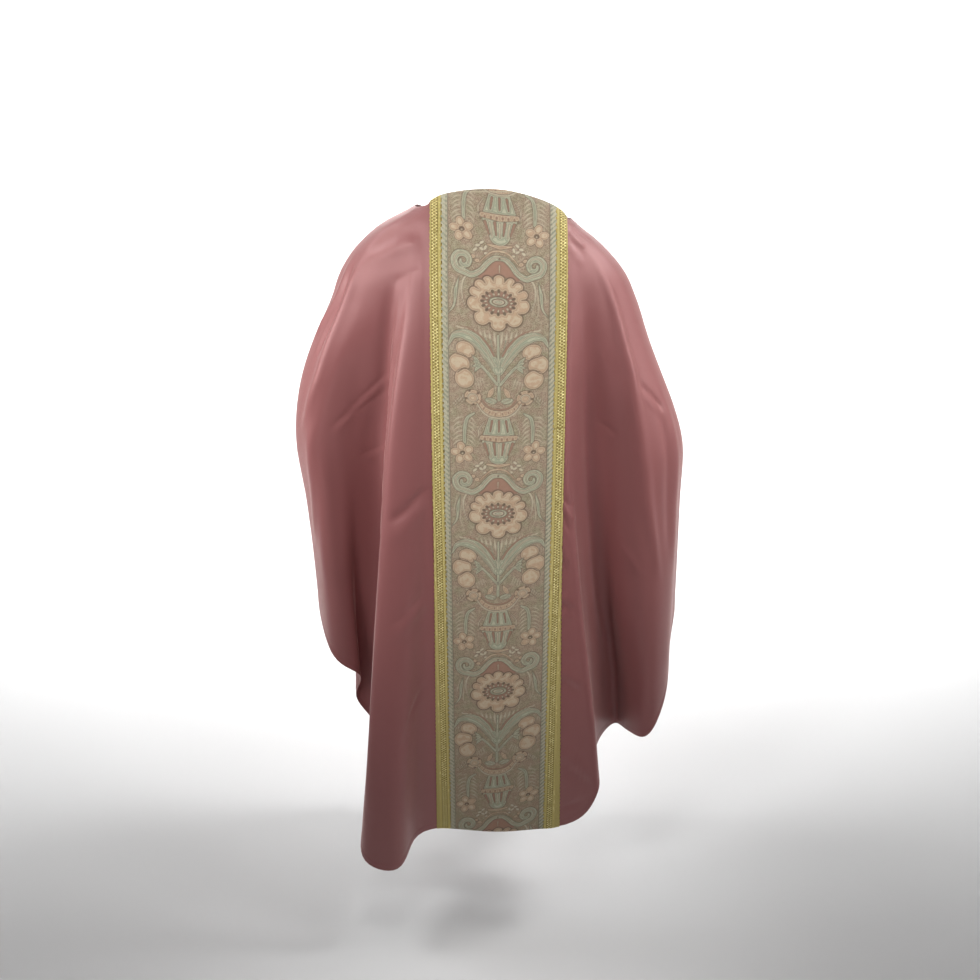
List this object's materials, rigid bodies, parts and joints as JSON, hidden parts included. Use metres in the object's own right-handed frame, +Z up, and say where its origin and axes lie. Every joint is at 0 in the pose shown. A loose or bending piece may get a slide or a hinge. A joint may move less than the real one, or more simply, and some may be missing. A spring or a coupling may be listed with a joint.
{
  "type": "gothic chasuble",
  "caption": "Wide sleeveless outer vestment of rose satin, worn like a closed poncho, with a floral tapestry band edged in gold braid down the back.",
  "frame": {"origin": "in the neck opening, on the line of the shoulders that carry the garment", "axes": "+Z up, the wearer faces -Y so the back of the garment is at +Y, +X towards the wearer's left"},
  "size_m": [0.756, 0.4399, 1.303],
  "materials": {
    "rose_satin": "smooth dull satin with a soft sheen",
    "floral_tapestry": "matt jacquard tapestry, flowers and scrolls on a taupe ground",
    "gold_braid": "woven metallic braid with a raised zigzag"
  },
  "bodies": {
    "root": {"back": "rose_satin", "front": "rose_satin", "orphrey_band": "floral_tapestry", "braid_left": "gold_braid", "braid_right": "gold_braid"}
  },
  "joints": []
}
